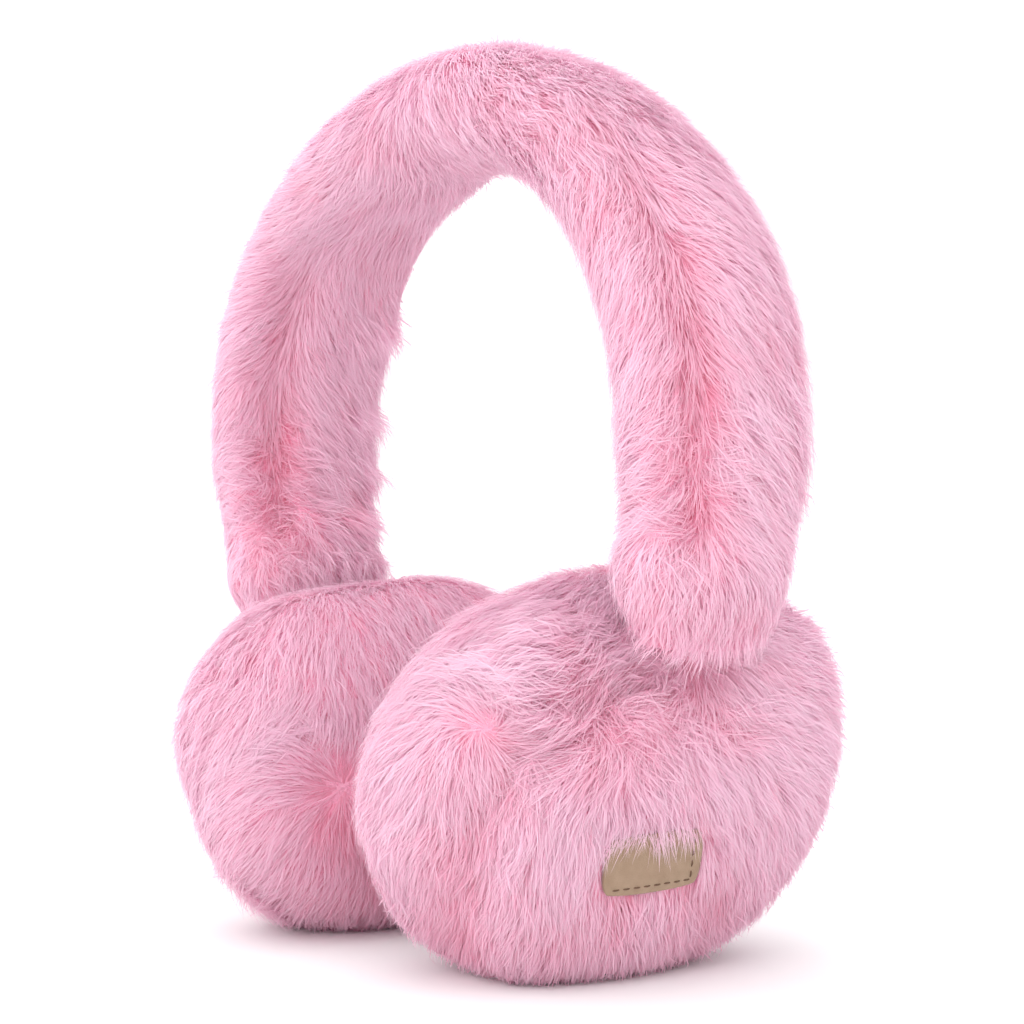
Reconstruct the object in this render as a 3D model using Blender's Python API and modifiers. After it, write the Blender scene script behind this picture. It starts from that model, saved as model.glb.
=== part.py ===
"""Fur earmuffs: a fur headband arch, two padded fur ear cups and a small suede patch.

Metres, +Z up. X runs from ear to ear, the patch is on the +X cup, and the wearer faces -Y.
The earmuffs stand on their cups, and the origin is on the floor below their middle.
"""

import math
import random
from collections import namedtuple

import bmesh
import bpy
from mathutils import Matrix, Vector

# The headband: an arch of padded fur, measured along its centre line.
# Each arm stands straight above its foot up to the spring line, where the arch begins.
ARM_SPACING = 0.153
ARM_LENGTH = 0.044
ARCH_RISE = 0.076
ARCH_SQUARENESS = 1.94
FOOT_LEAN = 0.007
BAND_FORWARD = 0.002
BAND_THICKNESS = 0.029
BAND_WIDTH = 0.049
BAND_ROUNDNESS = 0.9
FOOT_OVERLAP = 0.015
FOOT_CLEARANCE = 0.004

# The ear cups: rounded fur pads, thin along X, that stand on the floor.
# CUP_INSET is how far a cup's middle lies inside the band's foot that holds it.
CUP_INSET = 0.029
CUP_THICKNESS = 0.063
CUP_DEPTH = 0.114
CUP_HEIGHT = 0.094
CUP_SQUARENESS = 2.45
CUP_OUTLINE = 2.1
CUP_PRESSED = 0.002

# The patch: a thin strip of suede sewn low on the outer face of the +X cup.
PATCH_LENGTH = 0.025
PATCH_HEIGHT = 0.014
PATCH_THICKNESS = 0.0015
PATCH_CORNER = 0.10
PATCH_SINK = 0.003

# The fur's outer form: one lock stands on each cell of a padded surface.
LOCK_HEIGHT = 0.0040
LOCK_SLANT = 0.0046
LOCK_VARIATION = 0.35
LOCK_COVER = 0.7

# Fine gap between pieces that touch.
SEAT_GAP = 0.0003

# Mesh fineness.
PATH_STEPS = 40
BAND_RINGS = 54
BAND_SIDES = 16
CUP_CELLS = 10
PATCH_CELLS = 6

SEED = 11

# The band's section along each half, from the foot at 0 to the crown at 1.
# Thickness and width are shares of BAND_THICKNESS and BAND_WIDTH.
BandSection = namedtuple("BandSection", "along thickness width")
BAND_SECTIONS = (
    BandSection(0.00, 0.62, 0.70),
    BandSection(0.05, 1.02, 1.02),
    BandSection(0.14, 0.90, 0.90),
    BandSection(0.26, 0.98, 0.98),
    BandSection(0.45, 1.00, 1.02),
    BandSection(0.75, 1.00, 0.95),
    BandSection(1.00, 1.04, 0.84),
)

# Where the pile parts along an arm. The facing angle turns round the section from straight outward (0)
# to the front (-90). Depth is a share of BAND_THICKNESS, and spread is in degrees round the section.
Parting = namedtuple("Parting", "side facing start full fade end depth spread")
PARTINGS = (
    Parting(+1, -42.0, 0.08, 0.16, 0.50, 0.72, 0.25, 22.0),
    Parting(-1, -138.0, 0.08, 0.16, 0.52, 0.74, 0.27, 22.0),
)

# Each cup's own turn in degrees: pitch lifts the back edge, toe turns the back edge outward
# and lean tips the top edge outward.
Cup = namedtuple("Cup", "name side pitch toe lean")
CUPS = (
    Cup("ear_cup_right", +1, 13.0, 12.0, 8.0),
    Cup("ear_cup_left", -1, 3.5, 4.0, 8.0),
)

# Creases in the pile of a cup: each walks over the cup's outer side from point to point.
# Forward and up are shares of half the cup's depth and height, and depth is a share of CUP_THICKNESS.
CreasePoint = namedtuple("CreasePoint", "side forward up depth")
CREASE_POINTS = (
    CreasePoint(+1, 0.78, -0.85, 0.080),
    CreasePoint(+1, 0.87, -0.30, 0.120),
    CreasePoint(+1, 0.80, 0.15, 0.120),
    CreasePoint(+1, 0.62, 0.42, 0.095),
    CreasePoint(+1, 0.20, 0.62, 0.070),
    CreasePoint(+1, -0.30, 0.62, 0.040),
    CreasePoint(-1, 0.80, -0.80, 0.080),
    CreasePoint(-1, 0.84, -0.20, 0.080),
    CreasePoint(-1, 0.60, 0.45, 0.060),
)
CREASE_SPREAD = 0.13

# Where the patch sits on its cup: shares of half the cup's depth and height, and its slope.
PATCH_FORWARD = 0.13
PATCH_UP = -0.19
PATCH_SLOPE = -10.0

FUR_COLOUR = (0.86, 0.45, 0.58, 1.0)
SUEDE_COLOUR = (0.42, 0.28, 0.19, 1.0)


def clear_scene():
    """Removes whatever the file opened with."""
    for thing in list(bpy.data.objects):
        bpy.data.objects.remove(thing, do_unlink=True)


def make_material(name, colour, roughness):
    material = bpy.data.materials.new(name)
    material.use_nodes = True
    shader = material.node_tree.nodes["Principled BSDF"]
    shader.inputs["Base Color"].default_value = colour
    shader.inputs["Roughness"].default_value = roughness
    shader.inputs["Metallic"].default_value = 0.0
    material.diffuse_color = colour
    return material


def make_object(bm, name, collection, material):
    """Turns a bmesh into a named, smooth-shaded object."""
    bmesh.ops.recalc_face_normals(bm, faces=bm.faces)
    mesh = bpy.data.meshes.new(name)
    bm.to_mesh(mesh)
    bm.free()
    mesh.shade_smooth()
    mesh.set_sharp_from_angle(angle=math.radians(50))
    mesh.materials.append(material)
    thing = bpy.data.objects.new(name, mesh)
    collection.objects.link(thing)
    return thing


def signed_power(value, exponent):
    return math.copysign(abs(value) ** exponent, value)


def ease(x):
    x = min(max(x, 0.0), 1.0)
    return x * x * (3.0 - 2.0 * x)


def bell(distance, spread):
    return math.exp(-((distance / spread) ** 2))


def pad_inset():
    """How far a padded surface lies inside the tips of its locks."""
    return LOCK_HEIGHT * LOCK_COVER


def cup_centre_height():
    """The height of a cup's middle, with its pad pressed a little below the floor."""
    return CUP_HEIGHT / 2 - pad_inset() - CUP_PRESSED


def foot_height():
    """The height of the band's feet, which lap over the tops of the cups."""
    return cup_centre_height() + CUP_HEIGHT / 2 - FOOT_OVERLAP


def foot_spread():
    """How far from the middle a foot of the band stands."""
    return ARM_SPACING / 2 - FOOT_LEAN


def spring_line():
    """The height where the arms end and the arch begins."""
    return foot_height() + ARM_LENGTH


def arm_centre(down):
    """A point of the +X arm's centre line, from the spring line (0) to the foot (1)."""
    return Vector((ARM_SPACING / 2 - FOOT_LEAN * down ** 2, 0.0, spring_line() - ARM_LENGTH * down))


def arch_centre(turn):
    """A point of the arch's centre line, from the +X spring line (0) to the -X one (pi)."""
    share = 2.0 / ARCH_SQUARENESS
    x = ARM_SPACING / 2 * signed_power(math.cos(turn), share)
    return Vector((x, 0.0, spring_line() + ARCH_RISE * abs(math.sin(turn)) ** share))


def band_path(count):
    """Evenly spaced centre points of the band, from the +X foot over the crown to the -X foot."""
    arm = [arm_centre(1.0 - i / PATH_STEPS) for i in range(PATH_STEPS)]
    arch = [arch_centre(math.pi * i / (4 * PATH_STEPS)) for i in range(4 * PATH_STEPS + 1)]
    other_arm = [Vector((-p.x, 0.0, p.z)) for p in reversed(arm)]
    points = arm + arch + other_arm
    lengths = [0.0]
    for a, b in zip(points, points[1:]):
        lengths.append(lengths[-1] + (b - a).length)
    path = []
    j = 0
    for i in range(count):
        goal = lengths[-1] * i / (count - 1)
        while j < len(points) - 2 and lengths[j + 1] < goal:
            j += 1
        part = (goal - lengths[j]) / (lengths[j + 1] - lengths[j])
        path.append(points[j].lerp(points[j + 1], part))
    return path


def section_shares(along):
    """The band's thickness and width shares at a place between foot (0) and crown (1)."""
    for a, b in zip(BAND_SECTIONS, BAND_SECTIONS[1:]):
        if along <= b.along:
            part = ease((along - a.along) / (b.along - a.along))
            return a.thickness + (b.thickness - a.thickness) * part, a.width + (b.width - a.width) * part
    return BAND_SECTIONS[-1].thickness, BAND_SECTIONS[-1].width


def parting_depth(side, along, angle):
    """How deep the pile's parting is at a place on the band, as a share of its thickness."""
    depth = 0.0
    for row in PARTINGS:
        if row.side != side:
            continue
        run = ease((along - row.start) / (row.full - row.start))
        run *= 1.0 - ease((along - row.fade) / (row.end - row.fade))
        off = (angle - row.facing + 180.0) % 360.0 - 180.0
        depth += row.depth * run * bell(off, row.spread)
    return depth


def band_ring(centre, outward, along, side, stagger):
    """One ring of points round the band, pulled in by a lock's height and by the parting."""
    thickness, width = section_shares(along)
    half_thickness = BAND_THICKNESS * thickness / 2 - pad_inset()
    half_width = BAND_WIDTH * width / 2 - pad_inset()
    ring = []
    for j in range(BAND_SIDES):
        angle = 360.0 * (j + stagger) / BAND_SIDES
        c = math.cos(math.radians(angle))
        s = math.sin(math.radians(angle))
        pull = 1.0 - parting_depth(side, along, angle) * BAND_THICKNESS / half_thickness
        across = half_thickness * signed_power(c, BAND_ROUNDNESS) * pull
        sideways = half_width * signed_power(s, BAND_ROUNDNESS) * pull
        ring.append(centre + outward * across + Vector((0.0, sideways - BAND_FORWARD, 0.0)))
    return ring


def raise_locks(bm, faces, lay, height_at, rng):
    """Stands one lock of fur on each face: its middle is pulled out and combed along the lay."""
    made = bmesh.ops.poke(bm, faces=faces)
    bm.normal_update()
    moves = []
    for vert in sorted(made["verts"], key=lambda v: (round(v.co.x, 6), round(v.co.y, 6), round(v.co.z, 6))):
        vary = 1.0 + LOCK_VARIATION * (2.0 * rng.random() - 1.0)
        height = height_at(vert.co) * vary
        along = lay(vert.co)
        along = along - vert.normal * along.dot(vert.normal)
        if along.length > 1e-6:
            along.normalize()
        slant = LOCK_SLANT * height / LOCK_HEIGHT
        moves.append((vert, vert.normal * height + along * slant))
    for vert, move in moves:
        vert.co += move


def make_headband(collection, material):
    """Lofts the fur tube through its rings, then stands the locks on it."""
    path = band_path(BAND_RINGS)
    bm = bmesh.new()
    rings = []
    for i, centre in enumerate(path):
        before = path[max(i - 1, 0)]
        after = path[min(i + 1, len(path) - 1)]
        tangent = (after - before).normalized()
        outward = Vector((tangent.z, 0.0, -tangent.x))
        along = 1.0 - abs(2.0 * i / (BAND_RINGS - 1) - 1.0)
        side = 1 if i < BAND_RINGS / 2 else -1
        points = band_ring(centre, outward, along, side, 0.5 * (i % 2))
        rings.append([bm.verts.new(p) for p in points])
    walls = []
    for lower, upper in zip(rings, rings[1:]):
        for j in range(BAND_SIDES):
            k = (j + 1) % BAND_SIDES
            walls.append(bm.faces.new((lower[j], lower[k], upper[k], upper[j])))
    bm.faces.new(rings[0])
    bm.faces.new(rings[-1])
    bmesh.ops.recalc_face_normals(bm, faces=bm.faces)

    def lay(place):
        """The fur lies away from the crown over the arch, and down and outward on the arms."""
        if place.z < spring_line():
            return Vector((0.0, (place.y + BAND_FORWARD) / 3, -BAND_WIDTH))
        return Vector((place.x, 0.0, -abs(place.x)))

    rng = random.Random(SEED)
    raise_locks(bm, walls, lay, lambda place: LOCK_HEIGHT, rng)
    return make_object(bm, "headband", collection, material)


def cup_turn(cup):
    """The turn and place of a cup, from its own axes to the frame's."""
    place = Vector((cup.side * (foot_spread() - CUP_INSET), 0.0, cup_centre_height()))
    lean = Matrix.Rotation(math.radians(cup.side * cup.lean), 4, "Y")
    toe = Matrix.Rotation(math.radians(-cup.side * cup.toe), 4, "Z")
    pitch = Matrix.Rotation(math.radians(cup.pitch), 4, "X")
    return Matrix.Translation(place) @ pitch @ toe @ lean


def crease_depth(cup, point):
    """How far a crease pulls the outer side of the cup in, for a point in the cup's own axes."""
    outer = point.x * cup.side / (CUP_THICKNESS / 2)
    place = Vector((-point.y / (CUP_DEPTH / 2), point.z / (CUP_HEIGHT / 2)))
    rows = [row for row in CREASE_POINTS if row.side == cup.side]
    deepest = 0.0
    for a, b in zip(rows, rows[1:]):
        run = Vector((b.forward - a.forward, b.up - a.up))
        offset = place - Vector((a.forward, a.up))
        part = min(max(offset.dot(run) / run.length_squared, 0.0), 1.0)
        depth = a.depth + (b.depth - a.depth) * part
        deepest = max(deepest, depth * bell((offset - run * part).length, CREASE_SPREAD))
    return deepest * CUP_THICKNESS * ease((outer + 0.3) / 0.6)


def cup_point(cup, direction, grow):
    """The point of the padded cup in a direction, in the cup's own axes, grown by a small amount."""
    rim = (abs(direction.y) ** CUP_OUTLINE + abs(direction.z) ** CUP_OUTLINE) ** (CUP_SQUARENESS / CUP_OUTLINE)
    unit = direction / (abs(direction.x) ** CUP_SQUARENESS + rim) ** (1.0 / CUP_SQUARENESS)
    inset = pad_inset() - grow
    half = Vector((CUP_THICKNESS / 2 - inset, CUP_DEPTH / 2 - inset, CUP_HEIGHT / 2 - inset))
    point = unit * half
    return point - point.normalized() * crease_depth(cup, point)


def cup_pad(cup, grow):
    """The padded cup without its locks, in the frame's axes, pressed flat where it stands."""
    bm = bmesh.new()
    bmesh.ops.create_cube(bm, size=2.0)
    bmesh.ops.subdivide_edges(bm, edges=bm.edges, cuts=CUP_CELLS - 1, use_grid_fill=True)
    turn = cup_turn(cup)
    for vert in bm.verts:
        spread = Vector([math.tan(c * math.pi / 4) for c in vert.co])
        vert.co = turn @ cup_point(cup, spread.normalized(), grow)
        vert.co.z = max(vert.co.z, -grow)
    bmesh.ops.recalc_face_normals(bm, faces=bm.faces)
    return bm


def seat_cutter(cup, cutters):
    """A hidden copy of a cup's pad, one fine gap larger, that shapes the seats of what lies on it."""
    bm = cup_pad(cup, SEAT_GAP)
    mesh = bpy.data.meshes.new(cup.name + "_seat")
    bm.to_mesh(mesh)
    bm.free()
    cutter = bpy.data.objects.new(cup.name + "_seat", mesh)
    cutters.objects.link(cutter)
    cutter.hide_render = True
    cutter.display_type = "WIRE"
    return cutter


def shape_seat(thing, cutter):
    """Cuts a piece to the surface that it seats on."""
    cut = thing.modifiers.new("seat on " + cutter.name, "BOOLEAN")
    cut.operation = "DIFFERENCE"
    cut.solver = "EXACT"
    cut.object = cutter


def under_foot(cup, place):
    """How far a place on a cup is covered by the band's foot: 1 under it, 0 clear of it."""
    across = (place.x - cup.side * foot_spread()) / (BAND_THICKNESS / 2 + FOOT_CLEARANCE)
    along = (place.y + BAND_FORWARD) / (BAND_WIDTH / 2 + FOOT_CLEARANCE)
    covered = 1.0 - ease((math.hypot(across, along) - 0.9) / 0.3)
    return covered * ease((place.z - foot_height() + FOOT_CLEARANCE) / FOOT_CLEARANCE + 1.0)


def patch_place(forward, up):
    """A point of the +X cup's outer side, from its shares of half the cup's depth and height."""
    rim = (abs(forward) ** CUP_OUTLINE + abs(up) ** CUP_OUTLINE) ** (CUP_SQUARENESS / CUP_OUTLINE)
    outer = (1.0 - rim) ** (1.0 / CUP_SQUARENESS)
    inset = pad_inset()
    half = Vector((CUP_THICKNESS / 2 - inset, CUP_DEPTH / 2 - inset, CUP_HEIGHT / 2 - inset))
    return cup_turn(CUPS[0]) @ Vector((outer * half.x, -forward * half.y, up * half.z))


def patch_point(a, b):
    """A point under the patch, from -1 to 1 along its length (a) and its height (b)."""
    slope = math.radians(PATCH_SLOPE)
    along = a * PATCH_LENGTH / 2
    upward = b * PATCH_HEIGHT / 2
    back = along * math.cos(slope) - upward * math.sin(slope)
    rise = upward * math.cos(slope) + along * math.sin(slope)
    forward = PATCH_FORWARD - back / (CUP_DEPTH / 2)
    return patch_place(forward, PATCH_UP + rise / (CUP_HEIGHT / 2))


def under_patch(cup, place):
    """How far a place on a cup is covered by the patch: 1 under it, 0 clear of it."""
    if cup.side < 0:
        return 0.0
    reach = math.hypot(PATCH_LENGTH, PATCH_HEIGHT) / 2
    off = (place - patch_point(0.0, 0.0)).length
    return 1.0 - ease((off - reach) / (reach * 0.4))


def make_cup(cup, collection, material):
    """A padded fur cup: its pad with one lock on each cell, and none where it is covered or pressed."""
    bm = cup_pad(cup, 0.0)
    centre = cup_turn(cup).translation

    def height_at(place):
        clear = 1.0 - max(under_foot(cup, place), under_patch(cup, place))
        return LOCK_HEIGHT * clear * ease(place.z / (LOCK_HEIGHT * 2))

    def lay(place):
        """The fur lies down the cup and spreads to the front and back."""
        return Vector((0.0, 0.6 * (place.y - centre.y), -CUP_HEIGHT / 2))

    raise_locks(bm, list(bm.faces), lay, height_at, random.Random(SEED + cup.side))
    for vert in bm.verts:
        vert.co.z = max(vert.co.z, 0.0)
    return make_object(bm, cup.name, collection, material)


def make_patch(collection, material):
    """A thin suede sheet that follows the cup's outer side, with its corners rounded off."""
    bm = bmesh.new()
    bmesh.ops.create_grid(bm, x_segments=PATCH_CELLS, y_segments=PATCH_CELLS // 2, size=1.0)
    across = patch_point(1.0, 0.0) - patch_point(-1.0, 0.0)
    upward = patch_point(0.0, 1.0) - patch_point(0.0, -1.0)
    outward = across.cross(upward).normalized()
    if outward.x < 0:
        outward = -outward
    for vert in bm.verts:
        a, b = vert.co.x, vert.co.y
        corner = 1.0 - PATCH_CORNER * (abs(a) * abs(b)) ** 3
        vert.co = patch_point(a * corner, b * corner) - outward * PATCH_SINK
    for face in bm.faces:
        face.normal_update()
    if sum(face.normal.dot(outward) for face in bm.faces) < 0:
        bmesh.ops.reverse_faces(bm, faces=bm.faces)
    mesh = bpy.data.meshes.new("label_patch")
    bm.to_mesh(mesh)
    bm.free()
    mesh.materials.append(material)
    patch = bpy.data.objects.new("label_patch", mesh)
    collection.objects.link(patch)
    thick = patch.modifiers.new("suede", "SOLIDIFY")
    thick.thickness = PATCH_SINK + PATCH_THICKNESS + SEAT_GAP
    thick.offset = 1.0
    return patch


def centre_over_origin(parts, cutters):
    """Moves everything level, so that the origin lies below the middle of the finished part."""
    bpy.context.view_layer.update()
    graph = bpy.context.evaluated_depsgraph_get()
    corners = [Vector(corner) for thing in parts for corner in thing.evaluated_get(graph).bound_box]
    shift = Vector((0.0, 0.0, 0.0))
    for axis in (0, 1):
        places = [corner[axis] for corner in corners]
        shift[axis] = -(min(places) + max(places)) / 2
    for thing in [*parts, *cutters]:
        thing.location += shift
    return shift


def build():
    clear_scene()
    scene = bpy.context.scene
    parts = bpy.data.collections.new("fur_earmuffs")
    cutters = bpy.data.collections.new("seat_cutters")
    scene.collection.children.link(parts)
    scene.collection.children.link(cutters)
    fur = make_material("pink_fur", FUR_COLOUR, 0.9)
    suede = make_material("tan_suede", SUEDE_COLOUR, 0.85)

    headband = make_headband(parts, fur)
    patch = make_patch(parts, suede)
    for cup in CUPS:
        make_cup(cup, parts, fur)
        cutter = seat_cutter(cup, cutters)
        shape_seat(headband, cutter)
        if cup.side > 0:
            shape_seat(patch, cutter)
    shift = centre_over_origin(parts.objects, cutters.objects)
    print("moved level by", [round(1000 * s, 2) for s in shift], "mm")


build()
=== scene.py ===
# %% [markdown]
# # Fur earmuffs
#
# Earmuffs of long, soft faux fur: an arch of padded fur goes over the head, and a fur pad covers each ear.
# Underneath, every piece is a smooth stuffed pad of cloth, and the look comes from the pile that stands on
# the cloth. So the script first rebuilds the smooth pads, then combs a pile of real hairs over them.

# %% Load the solids as a fixed frame
import math
from collections import namedtuple

import bmesh
import bpy
import numpy as np
from mathutils import Matrix, Vector
from mathutils.kdtree import KDTree


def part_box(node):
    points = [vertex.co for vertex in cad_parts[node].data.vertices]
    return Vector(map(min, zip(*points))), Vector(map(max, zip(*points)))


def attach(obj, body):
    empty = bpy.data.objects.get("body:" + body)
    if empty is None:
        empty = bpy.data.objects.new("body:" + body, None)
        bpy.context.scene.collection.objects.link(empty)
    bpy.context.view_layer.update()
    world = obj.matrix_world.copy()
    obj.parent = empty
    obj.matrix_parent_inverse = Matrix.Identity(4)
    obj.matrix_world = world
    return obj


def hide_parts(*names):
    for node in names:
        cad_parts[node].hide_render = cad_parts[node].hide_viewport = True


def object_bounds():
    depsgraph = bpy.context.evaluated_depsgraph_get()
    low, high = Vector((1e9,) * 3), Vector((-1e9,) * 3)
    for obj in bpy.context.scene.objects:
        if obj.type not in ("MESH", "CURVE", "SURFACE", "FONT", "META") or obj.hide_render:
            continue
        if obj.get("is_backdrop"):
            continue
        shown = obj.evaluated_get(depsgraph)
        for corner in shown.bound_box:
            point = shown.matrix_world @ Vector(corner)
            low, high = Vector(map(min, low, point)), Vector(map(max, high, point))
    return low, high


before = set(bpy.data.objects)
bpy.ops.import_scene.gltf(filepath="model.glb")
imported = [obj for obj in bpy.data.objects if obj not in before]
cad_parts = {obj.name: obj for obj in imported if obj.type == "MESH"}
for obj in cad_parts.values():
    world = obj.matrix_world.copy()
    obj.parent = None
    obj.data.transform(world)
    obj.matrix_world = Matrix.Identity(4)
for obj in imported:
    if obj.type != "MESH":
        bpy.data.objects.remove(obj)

cad_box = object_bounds()
for node in sorted(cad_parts):
    low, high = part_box(node)
    print(node, "spans", [round(1000 * size, 1) for size in high - low], "mm")

# %% [markdown]
# ## The camera, the floor and the light
#
# The earmuffs stand on their cups and are seen from just above the floor, three quarters from the front.
# A long lens from half a metre away keeps the near cup only a little larger than the far one.
# The light is a white studio: a bright surround on every side, which grows brighter towards the upper left.
# A lamp would cast hard shadows between the hairs, and a surround alone gives the soft, even look.

# %% Camera
CAMERA_AZIMUTH = math.radians(49.94)
CAMERA_DISTANCE = 0.49957
CAMERA_LENS = 74.6
CAMERA_AIM_RIGHT = 0.00572
CAMERA_AIM_HEIGHT = 0.10018

camera_right = Vector((math.cos(CAMERA_AZIMUTH), math.sin(CAMERA_AZIMUTH), 0.0))
camera_back = Vector((math.sin(CAMERA_AZIMUTH), -math.cos(CAMERA_AZIMUTH), 0.0))
aim = camera_right * CAMERA_AIM_RIGHT + Vector((0.0, 0.0, CAMERA_AIM_HEIGHT))
camera = bpy.data.objects.new("camera", bpy.data.cameras.new("camera"))
camera.data.lens = CAMERA_LENS
camera.data.sensor_width = 36.0
camera.data.clip_start = 0.01
camera.location = aim + camera_back * CAMERA_DISTANCE
camera.rotation_mode = "QUATERNION"
camera.rotation_quaternion = (-camera_back).to_track_quat("-Z", "Y")
bpy.context.scene.collection.objects.link(camera)
bpy.context.scene.camera = camera
print("the camera stands", round(camera.location.z, 3), "m above the floor")

# %% Studio surround
# The surround is white everywhere, and brightest towards the key side.
FILL_STRENGTH = 1.0
KEY_STRENGTH = 1.0
KEY_DIRECTION = (camera_back * 0.35 - camera_right * 0.80 + Vector((0.0, 0.0, 0.65))).normalized()

bpy.context.scene.view_settings.view_transform = "Standard"
world = bpy.data.worlds.new("white studio")
bpy.context.scene.world = world
world.use_nodes = True
world.cycles.sampling_method = "NONE"
nodes, links = world.node_tree.nodes, world.node_tree.links
nodes["Background"].inputs["Color"].default_value = (1.0, 1.0, 1.0, 1.0)
direction = nodes.new("ShaderNodeTexCoord")
towards_key = nodes.new("ShaderNodeVectorMath")
towards_key.operation = "DOT_PRODUCT"
towards_key.inputs[1].default_value = KEY_DIRECTION
brightness = nodes.new("ShaderNodeMapRange")
brightness.interpolation_type = "SMOOTHSTEP"
brightness.inputs["From Min"].default_value = -0.8
brightness.inputs["From Max"].default_value = 1.0
brightness.inputs["To Min"].default_value = FILL_STRENGTH
brightness.inputs["To Max"].default_value = FILL_STRENGTH + KEY_STRENGTH
links.new(direction.outputs["Generated"], towards_key.inputs[0])
links.new(towards_key.outputs["Value"], brightness.inputs["Value"])
links.new(brightness.outputs["Result"], nodes["Background"].inputs["Strength"])


# %% A helper for materials, and the floor
def new_finish(name):
    """A material, its nodes and links, and its Principled shader."""
    material = bpy.data.materials.new(name)
    material.use_nodes = True
    tree = material.node_tree
    return material, tree.nodes, tree.links, tree.nodes["Principled BSDF"]


FLOOR_SIZE = 30.0
floor_finish, nodes, links, shader = new_finish("pale floor")
shader.inputs["Base Color"].default_value = (0.88, 0.88, 0.88, 1.0)
shader.inputs["Roughness"].default_value = 0.9
shader.inputs["Specular IOR Level"].default_value = 0.1

bm = bmesh.new()
bmesh.ops.create_grid(bm, x_segments=1, y_segments=1, size=FLOOR_SIZE / 2)
floor_mesh = bpy.data.meshes.new("floor")
bm.to_mesh(floor_mesh)
bm.free()
floor_mesh.materials.append(floor_finish)
floor = bpy.data.objects.new("floor", floor_mesh)
bpy.context.scene.collection.objects.link(floor)
floor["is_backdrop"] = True

# %% [markdown]
# ## The sizes
#
# These are the sizes that the solids were modelled from, in metres, with X from ear to ear, the patch on
# the +X cup and the wearer facing -Y. A hair springs from the cloth, which lies FUR_DEPTH inside the
# outline that the eye sees, so the pads below are rebuilt that much smaller.

# %% Sizes of the band and the cups
ARM_SPACING = 0.153
ARM_LENGTH = 0.044
ARCH_RISE = 0.076
ARCH_SQUARENESS = 1.94
FOOT_LEAN = 0.007
BAND_FORWARD = 0.002
BAND_THICKNESS = 0.029
BAND_WIDTH = 0.049
BAND_ROUNDNESS = 0.9
FOOT_OVERLAP = 0.015

CUP_INSET = 0.029
CUP_THICKNESS = 0.063
CUP_DEPTH = 0.114
CUP_HEIGHT = 0.094
CUP_SQUARENESS = 2.45
CUP_OUTLINE = 2.1
CUP_CENTRE_HEIGHT = 0.0422

FOOT_HEIGHT = CUP_CENTRE_HEIGHT + CUP_HEIGHT / 2 - FOOT_OVERLAP
SPRING_LINE = FOOT_HEIGHT + ARM_LENGTH
LEVEL_SHIFT = Vector((0.00035, -0.00072, 0.0))
FUR_DEPTH = 0.0026

# %% How the band's section changes, where its pile parts, and how the cups are turned and creased
BandSection = namedtuple("BandSection", "along thickness width")
BAND_SECTIONS = (
    BandSection(0.00, 0.82, 0.86),
    BandSection(0.05, 0.97, 0.98),
    BandSection(0.14, 0.90, 0.90),
    BandSection(0.26, 0.98, 0.98),
    BandSection(0.45, 1.00, 1.02),
    BandSection(0.75, 1.00, 0.95),
    BandSection(1.00, 1.04, 0.84),
)
Parting = namedtuple("Parting", "side facing start full fade end depth spread")
PARTINGS = (
    Parting(+1, -42.0, 0.08, 0.16, 0.50, 0.72, 0.25, 22.0),
    Parting(-1, -138.0, 0.08, 0.16, 0.52, 0.74, 0.27, 22.0),
)
Cup = namedtuple("Cup", "name side pitch toe lean")
CUPS = (
    Cup("ear_cup_right", +1, 13.0, 12.0, 8.0),
    Cup("ear_cup_left", -1, 3.5, 4.0, 8.0),
)
CreasePoint = namedtuple("CreasePoint", "side forward up depth")
CREASE_POINTS = (
    CreasePoint(+1, 0.78, -0.85, 0.080),
    CreasePoint(+1, 0.87, -0.30, 0.120),
    CreasePoint(+1, 0.80, 0.15, 0.120),
    CreasePoint(+1, 0.62, 0.42, 0.095),
    CreasePoint(+1, 0.20, 0.62, 0.070),
    CreasePoint(+1, -0.30, 0.62, 0.040),
    CreasePoint(-1, 0.80, -0.80, 0.080),
    CreasePoint(-1, 0.84, -0.20, 0.080),
    CreasePoint(-1, 0.60, 0.45, 0.060),
)
CREASE_SPREAD = 0.13
CREASE_START = -0.3


# %% [markdown]
# ## Small tools for many points at once
#
# A pile of three hundred thousand hairs is too much for Python to make one by one. Numpy works on whole
# lists of points, so each helper here takes an array and gives an array.

# %% Helpers
def unit(vectors):
    return vectors / np.maximum(np.linalg.norm(vectors, axis=-1, keepdims=True), 1e-12)


def signed_power(values, exponent):
    return np.sign(values) * np.abs(values) ** exponent


def ease(x):
    x = np.clip(x, 0.0, 1.0)
    return x * x * (3.0 - 2.0 * x)


def bell(distance, spread):
    return np.exp(-((distance / spread) ** 2))


def dot(a, b):
    return (a * b).sum(axis=-1, keepdims=True)


def on_surface(vectors, normals):
    """The part of each vector that lies along the surface, made one long."""
    return unit(vectors - normals * dot(vectors, normals))


def ring_quads(rings, sides):
    """The four-cornered faces between closed rings of points that follow each other."""
    ring, spot = np.meshgrid(np.arange(rings - 1), np.arange(sides), indexing="ij")
    a = (ring * sides + spot).ravel()
    b = (ring * sides + (spot + 1) % sides).ravel()
    return np.stack([a, b, b + sides, a + sides], 1)


def point_normals(points, triangles):
    """Smooth normals of a mesh given as arrays."""
    corners = points[triangles]
    flat = np.cross(corners[:, 1] - corners[:, 0], corners[:, 2] - corners[:, 0])
    normals = np.zeros_like(points)
    for k in range(3):
        np.add.at(normals, triangles[:, k], flat)
    return unit(normals)


# %% [markdown]
# ## The band's pad
#
# The stuffed band is a tube. Its centre line runs from the right foot up the arm, over the crown and down to
# the left foot, and its section is a rounded oval that swells and narrows a little on the way. Where the
# pile parts, the pad dips. A loft through rings of points makes it, and each point also keeps what the fur
# needs there: which way it is combed, how rosy it is, how tangled and how long.

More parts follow.
